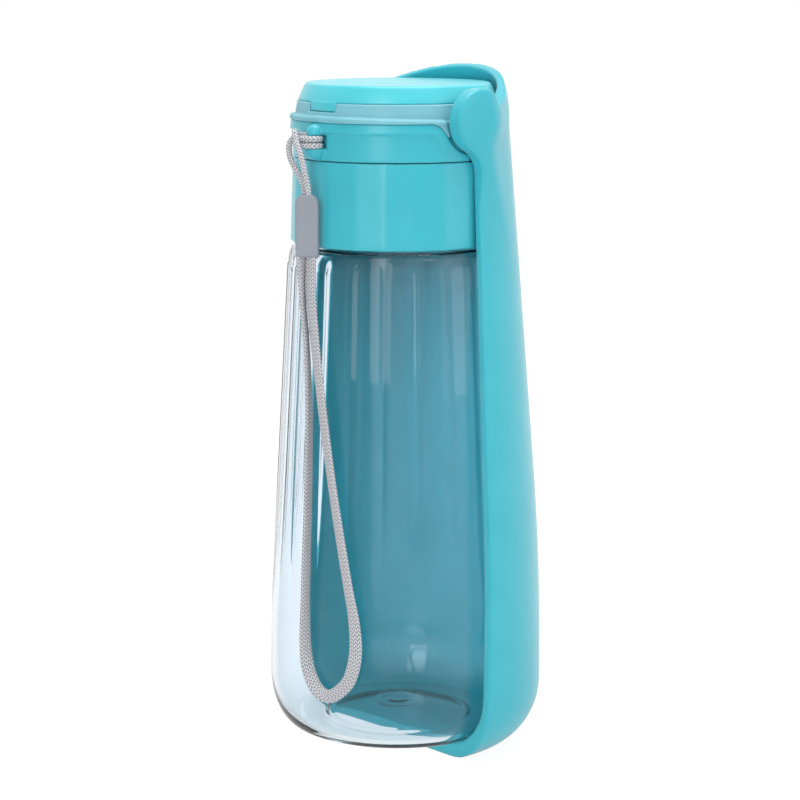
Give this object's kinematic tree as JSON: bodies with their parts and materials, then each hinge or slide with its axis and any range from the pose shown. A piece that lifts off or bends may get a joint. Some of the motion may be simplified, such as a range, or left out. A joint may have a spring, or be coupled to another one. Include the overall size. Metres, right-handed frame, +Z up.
{
  "type": "dog travel water bottle",
  "caption": "Clear travel water bottle with a teal head, a pull-up lid, a hinged swing-over drinking trough and a grey wrist lanyard.",
  "frame": {"origin": "on the bottle's axis, in the plane of the trough's flat underside, which the closed bottle stands on", "axes": "+Z up along the bottle's axis, -Y to the front (thumb tab and lanyard lug), +X along the trough's hinge"},
  "size_m": [0.0936, 0.0893, 0.2142],
  "materials": {
    "clear_plastic": "clear moulded plastic, polished",
    "teal_plastic": "fine satin moulding",
    "silicone": "translucent, matte",
    "white_plastic": "plain moulding",
    "steel_pin": "turned",
    "seal_rubber": "smooth",
    "braid": "braided polyester",
    "grey_plastic": "satin moulding"
  },
  "bodies": {
    "head": {"cap_body": "teal_plastic", "bottle": "clear_plastic", "neck_gasket": "seal_rubber", "spout_insert": "white_plastic", "lip_seal": "silicone", "hinge_pin_right": "steel_pin", "hinge_pin_left": "steel_pin", "lanyard_cord": "braid", "lanyard_sleeve": "grey_plastic", "lanyard_strap": "braid"},
    "collar": {"screw_collar": "teal_plastic"},
    "lid": {"lid_cover": "teal_plastic", "lid_stem": "white_plastic", "lid_oring": "seal_rubber", "stem_clip": "white_plastic"},
    "trough": {"trough": "teal_plastic"}
  },
  "joints": [
    {"name": "trough_swing", "type": "hinge", "parent": "head", "child": "trough", "pos_m": [0, 0, 0.199], "axis": [1, 0, 0], "range_deg": [0, 151]},
    {"name": "lid_pull", "type": "slide", "parent": "head", "child": "lid", "axis": [0, 0, 1], "range_m": [0, 0.003]},
    {"name": "collar_turn", "type": "hinge", "parent": "head", "child": "collar", "pos_m": [0, 0, 0.173], "axis": [0, 0, 1], "range_deg": [0, 540]}
  ]
}
